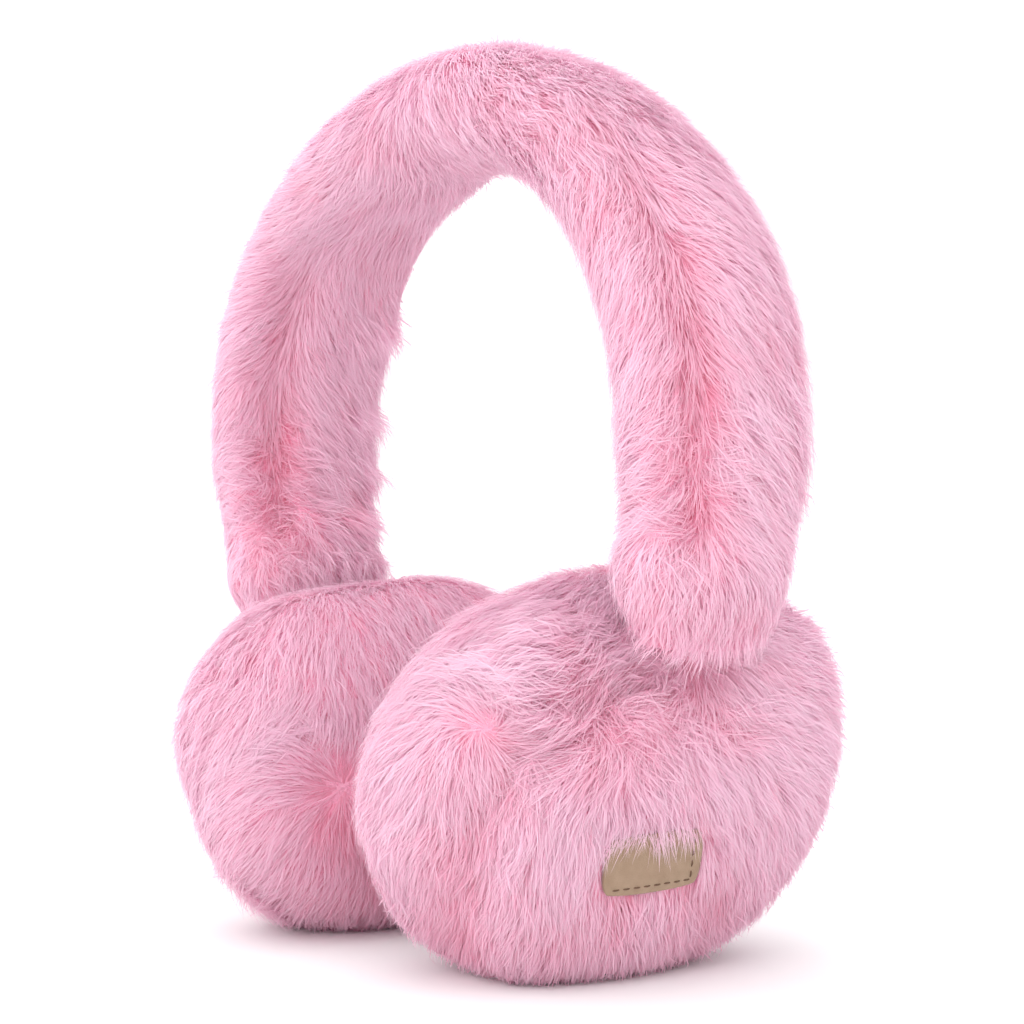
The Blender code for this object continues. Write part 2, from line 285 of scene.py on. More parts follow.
# %% The centre line
Pad = namedtuple("Pad", "points normals triangles marks")
LINE_STEPS = 800
BAND_RINGS = 220
BAND_SIDES = 64


def band_line(count):
    """Evenly spaced points of the band's centre line, from the +X foot over the crown to the -X foot."""
    down = np.linspace(1.0, 0.0, LINE_STEPS // 4, endpoint=False)
    arm = np.stack([ARM_SPACING / 2 - FOOT_LEAN * down ** 2, 0 * down, SPRING_LINE - ARM_LENGTH * down], 1)
    turn = np.linspace(0.0, math.pi, LINE_STEPS)
    share = 2.0 / ARCH_SQUARENESS
    across = ARM_SPACING / 2 * signed_power(np.cos(turn), share)
    arch = np.stack([across, 0 * turn, SPRING_LINE + ARCH_RISE * np.abs(np.sin(turn)) ** share], 1)
    points = np.vstack([arm, arch, arm[::-1] * (-1.0, 1.0, 1.0)])
    lengths = np.concatenate([[0.0], np.cumsum(np.linalg.norm(np.diff(points, axis=0), axis=1))])
    goals = np.linspace(0.0, lengths[-1], count)
    print("the band is", round(1000 * lengths[-1]), "mm long")
    return np.stack([np.interp(goals, lengths, points[:, k]) for k in range(3)], 1)


def section_share(along, column):
    """The band's thickness or width share at places between foot (0) and crown (1)."""
    share = np.full_like(along, getattr(BAND_SECTIONS[0], column))
    for a, b in zip(BAND_SECTIONS, BAND_SECTIONS[1:]):
        step = getattr(b, column) - getattr(a, column)
        share += step * ease((along - a.along) / (b.along - a.along))
    return share


def from_parting(row, side, along, facing):
    """How strongly a parting is felt at places on the band, and the angle from it round the section."""
    run = ease((along - row.start) / (row.full - row.start))
    run = run * (1.0 - ease((along - row.fade) / (row.end - row.fade)))
    off = (facing - row.facing + 180.0) % 360.0 - 180.0
    return run * (side == row.side), off


# %% The combing of the band
# The pile lies down each arm towards its foot. The two ways meet just left of the crown, where it falls
# forward. Along a parting it lies away from the middle, and low on the arms it lies all sideways.
CROWN_DIVIDE = 0.505
CROWN_BLEND = 0.08
CROWN_FALL = 0.4
SHOULDER_START = 0.56
SHOULDER_FADE = 0.72
SHOULDER_SWEEP = 0.6
PARTING_SWEEP = 0.9
PARTING_TURN = 14.0
PARTING_REACH = 90.0
SIDEWAYS = 0.85
SIDEWAYS_END = 0.33
BAND_HANG = 0.15


def comb_band(tangent, around, normals, share, along, side, facing):
    """Which way the pile lies at each point of the band."""
    to_foot = np.tanh((share - CROWN_DIVIDE) / CROWN_BLEND)
    sweep = -CROWN_FALL * bell(share - CROWN_DIVIDE, CROWN_BLEND)
    shoulder = ease((share - SHOULDER_START) / 0.08) * (1.0 - ease((share - SHOULDER_FADE) / 0.12))
    sweep += SHOULDER_SWEEP * shoulder * -np.sin(np.radians(facing))
    for row in PARTINGS:
        felt, off = from_parting(row, side, along, facing)
        felt = felt * bell(off, PARTING_REACH)
        sweep += PARTING_SWEEP * felt * np.tanh(off / PARTING_TURN)
        to_foot *= 1.0 - SIDEWAYS * felt * ease((SIDEWAYS_END - along) / 0.12)
    lay = tangent * to_foot[:, None] + around * sweep[:, None] + np.array([0.0, 0.0, -BAND_HANG])
    return on_surface(lay, normals)


# %% Places on the band that differ
# Each row is a bell round one place. It gives its reach along the band and, in degrees, round it, and then
# what it adds there. The rosy rows on the partings are partly painted shade, the rosy row at the right foot
# is painted shade, and the rows with a negative blush are painted light.
BandSpot = namedtuple("BandSpot", "side along facing long round blush tangle full ragged")
BAND_SPOTS = (
    # The first five rows paint the left parting rosier: partly the roots that show there, partly painted
    # shade.
    BandSpot(-1, 0.290, -143.0, 0.016, 15.0, 0.90, 0.5, -0.60, 0.0),
    BandSpot(-1, 0.240, -143.0, 0.018, 14.0, 0.90, 0.5, -0.60, 0.0),
    BandSpot(-1, 0.150, -138.0, 0.060, 26.0, 0.28, 0.9, 0.00, 0.2),
    BandSpot(-1, 0.100, -135.0, 0.060, 40.0, 0.12, 0.5, 0.00, 0.3),
    BandSpot(-1, 0.330, -140.0, 0.080, 24.0, 0.22, 0.0, 0.00, 0.0),
    BandSpot(-1, 0.075, 135.0, 0.016, 40.0, 0.00, 0.1, 1.80, 0.6),
    BandSpot(-1, 0.155, 135.0, 0.020, 40.0, 0.00, 0.1, 1.80, 0.5),
    # These two rows paint the fur paler on the key-facing front of the left arm and on the upper front of
    # the crown: painted light.
    BandSpot(-1, 0.400, -85.0, 0.300, 32.0, -0.10, 0.0, 0.00, 0.0),
    BandSpot(-1, 0.970, -40.0, 0.080, 50.0, -0.08, 0.0, 0.00, 0.0),
    BandSpot(-1, 0.235, 135.0, 0.016, 40.0, 0.00, 0.1, 1.40, 0.6),
    BandSpot(-1, 0.330, 135.0, 0.020, 40.0, 0.00, 0.1, 2.00, 0.6),
    BandSpot(-1, 0.500, 135.0, 0.022, 40.0, 0.00, 0.1, 1.40, 0.6),
    BandSpot(-1, 0.650, 150.0, 0.120, 50.0, 0.10, 0.0, -0.80, 0.0),
    BandSpot(-1, 0.100, -80.0, 0.060, 40.0, 0.00, 0.0, -0.60, 0.0),
    BandSpot(-1, 0.030, -70.0, 0.060, 50.0, 0.00, 0.0, -0.60, 0.0),
    BandSpot(-1, 0.900, -110.0, 0.040, 25.0, 0.16, 0.0, 0.00, 0.0),
    # These four rows paint the right parting rosier: partly the roots that show there, partly painted shade.
    BandSpot(+1, 0.315, -42.0, 0.025, 15.0, 0.50, 0.4, -0.50, 0.0),
    BandSpot(+1, 0.243, -52.0, 0.022, 14.0, 0.48, 0.6, -0.40, 0.0),
    BandSpot(+1, 0.175, -44.0, 0.022, 15.0, 0.50, 0.6, -0.40, 0.0),
    BandSpot(+1, 0.420, -40.0, 0.080, 20.0, 0.25, 0.0, 0.00, 0.0),
    BandSpot(+1, 0.560, -75.0, 0.060, 22.0, 0.20, 0.0, 0.00, 0.0),
    BandSpot(+1, 0.700, -60.0, 0.050, 22.0, 0.20, 0.0, 0.00, 0.0),
    BandSpot(+1, 0.830, -80.0, 0.040, 22.0, 0.22, 0.0, 0.00, 0.0),
    BandSpot(+1, 0.230, 60.0, 0.120, 50.0, 0.00, 0.0, 0.40, 0.0),
    BandSpot(+1, 0.080, 180.0, 0.080, 60.0, 0.00, 0.0, 0.60, 0.2),
    BandSpot(+1, 0.070, 60.0, 0.060, 50.0, 0.00, 0.0, -0.80, 0.0),
    # This row paints the fur rosier where the right foot meets its cup, under the collar: painted shade.
    BandSpot(+1, 0.050, -40.0, 0.050, 70.0, 0.22, 0.0, 0.00, 0.0),
)


# %% The pad itself
PARTING_FILL = 0.5
# How much rosier a parting is painted: partly the roots that show there, partly painted shade.
PARTING_BLUSH_AND_SHADE = 0.22
PARTING_TANGLE = 0.6
PARTING_TANGLE_END = 0.36
BAND_BLUSH = 0.10
INNER_RAGGED = 0.25
INNER_FACING = 120.0
HEM = 0.006
FOOT_TRIM = 0.35
FOOT_TRIM_START = 0.04
FOOT_PINCH = 0.38
FOOT_PINCH_FACING = -125.0
FOOT_PINCH_SPREAD = 55.0


def make_band_pad(inset):
    """The band's smooth tube, that far inside its outline."""
    line = band_line(BAND_RINGS)
    tangent = unit(np.gradient(line, axis=0))
    outward = np.stack([tangent[:, 2], 0 * tangent[:, 1], -tangent[:, 0]], 1)
    share = np.repeat(np.linspace(0.0, 1.0, BAND_RINGS), BAND_SIDES)
    facing = np.tile(360.0 * np.arange(BAND_SIDES) / BAND_SIDES, BAND_RINGS)
    facing = (facing + 180.0) % 360.0 - 180.0
    along = 1.0 - np.abs(2.0 * share - 1.0)
    side = np.where(share < 0.5, 1, -1)
    tangent, outward, line = (np.repeat(v, BAND_SIDES, axis=0) for v in (tangent, outward, line))

    half_thickness = BAND_THICKNESS * section_share(along, "thickness") / 2 - inset
    half_width = BAND_WIDTH * section_share(along, "width") / 2 - inset
    pull = np.ones_like(along)
    blush = np.full_like(along, BAND_BLUSH)
    tangle = np.zeros_like(along)
    full = np.ones_like(along)
    ragged = INNER_RAGGED * ease((np.abs(facing) - INNER_FACING) / 40.0)
    for row in PARTINGS:
        felt, off = from_parting(row, side, along, facing)
        dent = PARTING_FILL * row.depth * BAND_THICKNESS / half_thickness
        pull -= dent * felt * bell(off, row.spread)
        # Painted shade: along a parting the fur is painted rosier, partly for the roots that show there.
        blush += PARTING_BLUSH_AND_SHADE * felt * bell(off, row.spread * 0.9)
        low = ease((PARTING_TANGLE_END - along) / 0.10)
        tangle += PARTING_TANGLE * felt * bell(off, row.spread) * low
    pinch = (side > 0) * (1.0 - ease((along - 0.01) / 0.09))
    pinch = pinch * bell(facing - FOOT_PINCH_FACING, FOOT_PINCH_SPREAD)
    pull -= FOOT_PINCH * pinch
    for row in BAND_SPOTS:
        off = (facing - row.facing + 180.0) % 360.0 - 180.0
        felt = bell(along - row.along, row.long) * bell(off, row.round) * (side == row.side)
        blush += row.blush * felt
        tangle += row.tangle * felt
        full += row.full * felt
        ragged += row.ragged * felt
    turn = np.radians(facing)
    across = half_thickness * signed_power(np.cos(turn), BAND_ROUNDNESS) * pull
    sideways = half_width * signed_power(np.sin(turn), BAND_ROUNDNESS) * pull
    y_axis = np.array([0.0, 1.0, 0.0])
    points = line + outward * across[:, None] + y_axis * (sideways - BAND_FORWARD)[:, None]
    points += np.array(LEVEL_SHIFT)

    quads = ring_quads(BAND_RINGS, BAND_SIDES)
    triangles = np.vstack([quads[:, [0, 1, 2]], quads[:, [0, 2, 3]]])
    normals = point_normals(points, triangles)
    if dot(normals, points - line).mean() < 0:
        triangles = triangles[:, ::-1]
        normals = -normals
    around = on_surface(-outward * np.sin(turn)[:, None] + y_axis * np.cos(turn)[:, None], normals)
    marks = {
        "lay": comb_band(tangent, around, normals, share, along, side, facing),
        "share": share,
        "blush": blush,
        "tangle": tangle,
        "full": full,
        "ragged": ragged,
        "length": 1.0 - FOOT_TRIM * (1.0 - ease((along - FOOT_TRIM_START) / 0.08)),
        "cover": ease((along - HEM + 0.01) / 0.02),
    }
    return Pad(points, normals, triangles, marks)


band_pad = make_band_pad(FUR_DEPTH)
print("band pad:", len(band_pad.points), "points")

# %% [markdown]
# ## The cups' pads
#
# Each cup is a fat round cushion, thin from ear to ear. A ball made from a cube has even cells all over, and
# one formula then squares it up into the cushion. The creases that a hand leaves in the pile are pressed in
# along short walks over the outer side.

# %% A cup's own axes
CUP_CELLS = 36


def cup_matrix(cup):
    """The turn and place of a cup, from its own axes to the frame's."""
    out = cup.side * (ARM_SPACING / 2 - FOOT_LEAN - CUP_INSET)
    place = Vector((out, 0.0, CUP_CENTRE_HEIGHT)) + LEVEL_SHIFT
    lean = Matrix.Rotation(math.radians(cup.side * cup.lean), 4, "Y")
    toe = Matrix.Rotation(math.radians(-cup.side * cup.toe), 4, "Z")
    pitch = Matrix.Rotation(math.radians(cup.pitch), 4, "X")
    return np.array(Matrix.Translation(place) @ pitch @ toe @ lean)


def to_frame(cup, places):
    matrix = cup_matrix(cup)
    return places @ matrix[:3, :3].T + matrix[:3, 3]


def to_cup(cup, places):
    matrix = cup_matrix(cup)
    return (places - matrix[:3, 3]) @ matrix[:3, :3]


def cup_half(inset):
    return np.array([CUP_THICKNESS / 2 - inset, CUP_DEPTH / 2 - inset, CUP_HEIGHT / 2 - inset])


def cup_fill(shares):
    """1 on the surface of the rounded cup, less inside it, for points as shares of its half sizes."""
    x, y, z = np.abs(shares).T
    rim = (y ** CUP_OUTLINE + z ** CUP_OUTLINE) ** (CUP_SQUARENESS / CUP_OUTLINE)
    return (x ** CUP_SQUARENESS + rim) ** (1.0 / CUP_SQUARENESS)


def side_place(cup, face, forward, up, inset=0.0):
    """A point on the outer (+1) or inner (-1) side of a cup, in its own axes, from its shares."""
    rim = (abs(forward) ** CUP_OUTLINE + abs(up) ** CUP_OUTLINE) ** (CUP_SQUARENESS / CUP_OUTLINE)
    outer = max(1.0 - rim, 0.0) ** (1.0 / CUP_SQUARENESS)
    return np.array([cup.side * face * outer, -forward, up]) * cup_half(inset)


# %% Creases
def crease_strength(cup, local):
    """How strongly a crease is felt, as a share of CUP_THICKNESS, for points in the cup's own axes."""
    outer = local[:, 0] * cup.side / (CUP_THICKNESS / 2)
    place = np.stack([-local[:, 1] / (CUP_DEPTH / 2), local[:, 2] / (CUP_HEIGHT / 2)], 1)
    rows = [row for row in CREASE_POINTS if row.side == cup.side]
    deepest = np.zeros(len(local))
    for a, b in zip(rows, rows[1:]):
        run = np.array([b.forward - a.forward, b.up - a.up])
        offset = place - (a.forward, a.up)
        part = np.clip(offset @ run / (run @ run), 0.0, 1.0)
        depth = a.depth + (b.depth - a.depth) * part
        away = np.linalg.norm(offset - part[:, None] * run, axis=1)
        deepest = np.maximum(deepest, depth * bell(away, CREASE_SPREAD))
    return deepest * ease((outer - CREASE_START) / 0.6)


# %% [markdown]
# ## Combing the cups
#
# A groomer sets a few guide strokes and lets the pile between them follow. Each row here is one stroke:
# where it is on the cup, which way it combs and how far it is felt. Forward is towards the wearer's face.

# %% The strokes
Stroke = namedtuple("Stroke", "side face forward up to_outer to_forward to_up reach")
STROKES = (
    Stroke(+1, +1, 0.35, 0.96, 0.2, 1.0, 0.0, 0.016),
    Stroke(+1, +1, -0.05, 0.98, 0.5, 0.9, 0.0, 0.014),
    Stroke(+1, +1, 0.50, 0.80, 0.0, 1.0, 0.0, 0.012),
    Stroke(+1, +1, 0.20, 0.76, 0.0, 1.0, 0.1, 0.012),
    Stroke(+1, +1, 0.75, 0.72, -0.1, 1.0, -0.3, 0.012),
    Stroke(+1, +1, 0.93, 0.48, -0.3, 0.6, -0.7, 0.012),
    Stroke(+1, +1, 0.44, 0.64, 0.0, 1.0, -0.1, 0.009),
    Stroke(+1, +1, 0.72, 0.50, 0.0, 0.1, -1.0, 0.008),
    Stroke(+1, +1, 0.53, 0.43, 0.0, 0.9, -0.4, 0.009),
    Stroke(+1, +1, 0.93, 0.20, -0.3, 0.4, -0.9, 0.012),
    Stroke(+1, +1, 0.90, -0.10, -0.3, 0.3, -1.0, 0.014),
    Stroke(+1, +1, 0.80, -0.50, -0.2, 0.4, -1.0, 0.016),
    Stroke(+1, +1, 0.62, 0.12, 0.0, 0.45, -0.9, 0.012),
    Stroke(+1, +1, 0.33, -0.10, 0.0, 0.2, -1.0, 0.016),
    Stroke(+1, +1, 0.10, 0.20, 0.0, 0.05, -1.0, 0.012),
    Stroke(+1, +1, 0.25, 0.56, 0.0, 1.0, -0.2, 0.008),
    Stroke(+1, +1, 0.02, 0.66, 0.0, 1.0, -0.4, 0.010),
    Stroke(+1, +1, -0.20, 0.60, 0.0, 0.3, -0.9, 0.008),
    Stroke(+1, +1, 0.12, 0.42, 0.0, 0.5, -0.9, 0.008),
    Stroke(+1, +1, -0.10, 0.42, 0.0, 0.0, -1.0, 0.008),
    Stroke(+1, +1, -0.35, 0.33, 0.0, -0.7, -0.8, 0.012),
    Stroke(+1, +1, -0.65, 0.32, 0.0, -1.0, -0.4, 0.012),
    Stroke(+1, +1, -0.68, -0.10, 0.0, -0.55, -0.9, 0.016),
    Stroke(+1, +1, -0.20, -0.18, 0.0, -0.1, -1.0, 0.014),
    Stroke(+1, +1, -0.45, -0.50, 0.0, -0.35, -1.0, 0.016),
    Stroke(+1, +1, 0.30, -0.65, -0.2, 0.1, -1.0, 0.018),
    Stroke(+1, +1, -0.40, 0.76, 0.1, -0.5, -0.7, 0.012),
    Stroke(+1, +1, -0.85, 0.50, 0.0, -0.8, -0.5, 0.014),
    Stroke(+1, -1, 0.00, 0.50, 0.0, 0.0, -1.0, 0.030),
    Stroke(-1, -1, 0.10, 0.85, 0.0, 0.1, -1.0, 0.018),
    Stroke(-1, -1, 0.35, 0.45, 0.0, 0.1, -1.0, 0.016),
    Stroke(-1, -1, 0.70, 0.45, 0.0, 0.3, -1.0, 0.014),
    Stroke(-1, -1, 0.92, 0.10, 0.3, 0.9, -0.3, 0.014),
    Stroke(-1, -1, 0.92, -0.25, 0.4, 0.8, -0.5, 0.014),
    Stroke(-1, -1, 0.75, -0.15, 0.0, 1.0, 0.15, 0.009),
    Stroke(-1, -1, 0.68, -0.02, 0.0, 0.5, 0.8, 0.006),
    Stroke(-1, -1, 0.80, -0.50, 0.3, 0.7, -0.8, 0.014),
    Stroke(-1, -1, 0.60, -0.35, 0.0, 0.6, -0.8, 0.010),
    Stroke(-1, -1, 0.50, -0.60, 0.0, 0.2, -1.0, 0.014),
    Stroke(-1, -1, 0.45, -0.15, 0.0, -0.5, -0.8, 0.009),
    Stroke(-1, +1, 0.20, 0.20, 0.0, 0.1, -1.0, 0.030),
)
PLAIN_COMBING = 0.12
PLAIN_SPREAD = (0.3, 0.5, 0.0)

# %% The whorls
# In a whorl the pile runs out from one spot and may turn round it, as on the crown of a head.
Whorl = namedtuple("Whorl", "side face forward up outward around reach")
WHORLS = (
    Whorl(+1, +1, 0.69, 0.57, 1.2, 1.1, 0.012),
    Whorl(+1, +1, 0.28, 0.47, 0.8, -1.4, 0.007),
    Whorl(+1, +1, 0.02, 0.50, 0.8, 1.4, 0.007),
    Whorl(+1, +1, -0.25, 0.60, 0.9, -0.6, 0.008),
    Whorl(-1, -1, 0.67, -0.19, 1.4, 0.4, 0.012),
)
WHORL_PEAK = 2.3


def comb_cup(cup, local):
    """Which way the pile lies at points of a cup, in its own axes."""
    spread = local / cup_half(0.0)
    lay = PLAIN_COMBING * (np.array([0.0, 0.0, -1.0]) + spread * PLAIN_SPREAD)
    for row in STROKES:
        if row.side != cup.side:
            continue
        place = side_place(cup, row.face, row.forward, row.up)
        heading = np.array([cup.side * row.to_outer, -row.to_forward, row.to_up])
        felt = bell(np.linalg.norm(local - place, axis=1), row.reach)
        lay += felt[:, None] * heading / np.linalg.norm(heading)
    for row in WHORLS:
        if row.side == cup.side:
            offset = local - side_place(cup, row.face, row.forward, row.up)
            away = np.linalg.norm(offset, axis=1) / row.reach
            aside = np.cross((cup.side * row.face, 0.0, 0.0), offset)
            swirl = row.outward * unit(offset) + row.around * unit(aside)
            lay += swirl * (WHORL_PEAK * away * bell(away, 1.0))[:, None]
    return lay


# %% [markdown]
# Some spots on the cups show more of the rosy underfur: where the pile swirls, and where it has been rubbed
# into a tangle. The rosy rows along the deep crease are partly the roots that show there and partly painted
# shade, the rosy rows in a fold below the patch are painted shade, and the rows with a negative blush paint
# the tops paler as painted light. They are rows of a second short table. Its last column is how far the pad
# itself is pushed out or pressed in there, in metres.

# %% Rosy and tangled spots
Spot = namedtuple("Spot", "side face forward up reach blush tangle full bulge")
SPOTS = (
    Spot(+1, +1, 0.28, 0.52, 0.008, 0.14, 0.6, 0.2, 0.0),
    Spot(+1, +1, 0.10, 0.58, 0.008, 0.18, 0.6, 0.3, 0.0),
    Spot(+1, +1, -0.12, 0.55, 0.008, 0.16, 0.6, 0.3, 0.0),
    Spot(+1, +1, -0.25, 0.42, 0.006, 0.14, 0.5, 0.0, 0.0),
    Spot(+1, +1, 0.12, 0.35, 0.007, 0.16, 0.4, 0.0, 0.0),
    Spot(+1, +1, 0.68, 0.58, 0.009, 0.14, 0.2, 0.0, 0.0),
    Spot(+1, +1, 0.48, 0.58, 0.005, 0.20, 0.2, 0.0, 0.0),
    Spot(+1, +1, 0.55, 0.30, 0.005, 0.15, 0.2, 0.0, 0.0),
    Spot(+1, +1, 0.20, 0.78, 0.006, 0.20, 0.2, 0.0, 0.0),
    # These two rows paint the deep crease of the near cup rosier still: partly the roots that show there,
    # partly painted shade.
    Spot(+1, +1, 0.85, 0.08, 0.007, 0.20, 0.1, 0.0, 0.0),
    Spot(+1, +1, 0.80, -0.30, 0.008, 0.15, 0.0, 0.0, 0.0),
    Spot(+1, +1, 0.45, -0.40, 0.007, 0.12, 0.0, 0.0, 0.0),
    # These two rows paint a fold below the patch rosier, where the pile also lies flatter: painted shade.
    Spot(+1, +1, -0.12, -0.52, 0.007, 0.20, 0.0, -0.5, 0.0),
    Spot(+1, +1, -0.16, -0.36, 0.006, 0.20, 0.0, -0.5, 0.0),
    Spot(+1, +1, -0.88, 0.48, 0.014, 0.00, 0.0, 1.1, 0.002),
    Spot(+1, +1, -0.92, 0.15, 0.014, 0.00, 0.0, 0.5, 0.0),
    Spot(+1, +1, 0.37, 0.80, 0.010, 0.00, 0.0, 1.3, 0.004),
    Spot(-1, -1, 0.64, -0.18, 0.009, 0.20, 0.1, -0.2, 0.0),
    Spot(-1, -1, 0.52, -0.30, 0.010, 0.20, 0.0, 0.0, 0.0),
    Spot(-1, -1, 0.45, -0.62, 0.010, 0.25, 0.0, 0.0, 0.0),
    Spot(-1, -1, 0.55, 0.62, 0.006, 0.10, 0.0, 0.0, 0.0),
    # These two rows paint the fur paler near the top of each cup: painted light.
    Spot(-1, -1, 0.30, 0.72, 0.016, -0.07, 0.0, 0.0, 0.0),
    Spot(+1, +1, 0.45, 0.82, 0.016, -0.08, 0.0, 0.0, 0.0),
    Spot(-1, -1, 0.98, -0.48, 0.016, 0.00, 0.0, 1.3, 0.0025),
    Spot(-1, -1, 0.94, 0.48, 0.012, 0.00, 0.0, 0.8, 0.0),
    Spot(-1, -1, 0.05, 0.98, 0.026, 0.00, 0.0, -0.6, -0.0055),
)
TANGLE_RAGGED = 1.2
# How much rosier a deep crease is painted: partly the roots that show there, partly painted shade.
CREASE_BLUSH_AND_SHADE = 0.42
DEEP_CREASE = 0.12
CUP_BLUSH = 0.10
# How much rosier the fur is painted low down, and how high that reaches: painted shade near the floor.
LOW_PAINTED_SHADE = 0.22
LOW_SHADE_REACH = 0.045
EAR_SIDE_COVER = 0.65
FLOOR_COVER = 0.5
FLOOR_COVER_REACH = 0.012
FOOT_EDGE = 0.40
FOOT_MARGIN = 0.001
PAD_CLEARANCE = 0.0012
SKIP_FILL = 0.97

# %% The patch's place on the near cup, which stays free of roots
PATCH_LENGTH = 0.025
PATCH_HEIGHT = 0.014
PATCH_THICKNESS = 0.0015
PATCH_CORNER = 0.10
PATCH_FORWARD = 0.13
PATCH_UP = -0.19
PATCH_SLOPE = math.radians(-10.0)
PATCH_INSET = 0.0028
PATCH_TRIM = 0.35
TRIM_ALONG = 1.3
TRIM_UPWARD = 1.4
BARE_ALONG = 0.92
BARE_UPWARD = (-0.55, 0.95)
SEAT_GAP = 0.0003


def patch_shares(local):
    """Where points of the near cup fall on the patch: -1 to 1 along its length and its height."""
    forward = -local[:, 1] / (CUP_DEPTH / 2)
    up = local[:, 2] / (CUP_HEIGHT / 2)
    back = (PATCH_FORWARD - forward) * (CUP_DEPTH / 2)
    rise = (up - PATCH_UP) * (CUP_HEIGHT / 2)
    along = back * math.cos(PATCH_SLOPE) + rise * math.sin(PATCH_SLOPE)
    upward = rise * math.cos(PATCH_SLOPE) - back * math.sin(PATCH_SLOPE)
    return along / (PATCH_LENGTH / 2), upward / (PATCH_HEIGHT / 2)


# %% The cups' pads
def spot_felt(cup, row, local, inset):
    """How strongly a spot is felt at points of a cup."""
    place = side_place(cup, row.face, row.forward, row.up, inset)
    return bell(np.linalg.norm(local - place, axis=1), row.reach)


def make_cup_pad(cup, inset):
    """A cup's smooth cushion, that far inside its outline."""
    bm = bmesh.new()
    bmesh.ops.create_cube(bm, size=2.0)
    bmesh.ops.subdivide_edges(bm, edges=bm.edges, cuts=CUP_CELLS - 1, use_grid_fill=True)
    bmesh.ops.triangulate(bm, faces=bm.faces)
    cube = np.array([v.co for v in bm.verts])
    triangles = np.array([[v.index for v in face.verts] for face in bm.faces])
    bm.free()

    shares = unit(np.tan(cube * math.pi / 4))
    shares = shares / cup_fill(shares)[:, None]
    local = shares * cup_half(inset)
    crease = crease_strength(cup, local)
    local = local - unit(local) * (crease * CUP_THICKNESS)[:, None]
    for row in SPOTS:
        if row.side == cup.side and row.bulge:
            local = local + unit(local) * (row.bulge * spot_felt(cup, row, local, inset))[:, None]
    points = to_frame(cup, local)
    points[:, 2] = np.maximum(points[:, 2], PAD_CLEARANCE)
    normals = point_normals(points, triangles)
    if dot(normals, points - cup_matrix(cup)[:3, 3]).mean() < 0:
        triangles = triangles[:, ::-1]
        normals = -normals

    turned = comb_cup(cup, local) @ cup_matrix(cup)[:3, :3].T
    # Painted shade: the fur is painted rosier in the creases, partly for the roots that show there, and low
    # down near the floor.
    blush = CUP_BLUSH + CREASE_BLUSH_AND_SHADE * (crease / DEEP_CREASE) ** 2
    blush += LOW_PAINTED_SHADE * ease(1.0 - points[:, 2] / LOW_SHADE_REACH)
    tangle = np.zeros(len(points))
    full = np.ones(len(points))
    for row in SPOTS:
        if row.side == cup.side:
            felt = spot_felt(cup, row, local, inset)
            blush += row.blush * felt
            tangle += row.tangle * felt
            full += row.full * felt
    foot = np.hypot(
        (points[:, 0] - cup.side * (ARM_SPACING / 2 - FOOT_LEAN)) / (BAND_THICKNESS / 2),
        (points[:, 1] + BAND_FORWARD) / (BAND_WIDTH / 2),
    )
    covered = (foot < FOOT_EDGE) & (points[:, 2] > FOOT_HEIGHT + FOOT_MARGIN)
    outer = local[:, 0] * cup.side / (CUP_THICKNESS / 2)
    cover = np.where(covered, 0.0, EAR_SIDE_COVER + (1.0 - EAR_SIDE_COVER) * ease(outer + 0.6))
    cover = cover * (FLOOR_COVER + (1.0 - FLOOR_COVER) * ease(points[:, 2] / FLOOR_COVER_REACH))
    length = np.ones(len(points))
    if cup.side > 0:
        along, upward = patch_shares(local)
        inside = (np.abs(along) < BARE_ALONG) & (outer > 0)
        inside &= (upward > BARE_UPWARD[0]) & (upward < BARE_UPWARD[1])
        cover = np.where(inside, 0.0, cover)
        above = (outer > 0) * ease((TRIM_ALONG - np.abs(along)) / 0.3) * bell(upward - TRIM_UPWARD, 1.0)
        length = 1.0 - PATCH_TRIM * above
    marks = {
        "lay": on_surface(turned, normals),
        "share": outer,
        "blush": blush,
        "tangle": tangle,
        "full": full,
        "ragged": TANGLE_RAGGED * tangle,
        "length": length,
        "cover": cover,
    }
    return Pad(points, normals, triangles, marks)


cup_pads = {cup.name: make_cup_pad(cup, FUR_DEPTH) for cup in CUPS}
print("cup pads:", [len(pad.points) for pad in cup_pads.values()], "points")

# %% [markdown]
# ## Growing the pile
#
# Real pile hangs together: hairs gather in strands, and strands in tufts. So the script grows three levels.
# Tufts are combed first, strands lean towards their tuft, and hairs close up with their strand at the tip.
# Every level adds its own small turn, length and rise, wider where the pile is tangled or ragged, and the
# chances come from one seeded generator. A short, softer underfur fills the room between the hairs.

# %% Scattering roots
Roots = namedtuple("Roots", "places normals marks")
SEED = 7
rng = np.random.default_rng(SEED)


def scatter(pad, count):
    """Roots spread evenly over a pad, thinned by its cover."""
    corners = pad.points[pad.triangles]
    areas = np.linalg.norm(np.cross(corners[:, 1] - corners[:, 0], corners[:, 2] - corners[:, 0]), axis=1)
    chance = np.cumsum(areas * pad.marks["cover"][pad.triangles].min(axis=1))
    chosen = np.searchsorted(chance, rng.random(count) * chance[-1])
    u, v = rng.random((2, count))
    folded = u + v > 1.0
    u, v = np.where(folded, 1.0 - u, u), np.where(folded, 1.0 - v, v)
    weights = np.stack([1.0 - u - v, u, v], 1)
    rows = pad.triangles[chosen]

    def take(values):
        return np.einsum("nk,nk...->n...", weights, values[rows])

    marks = {name: take(values) for name, values in pad.marks.items()}
    normals = unit(take(pad.normals))
    marks["lay"] = on_surface(marks["lay"], normals)
    return Roots(take(pad.points), normals, marks)


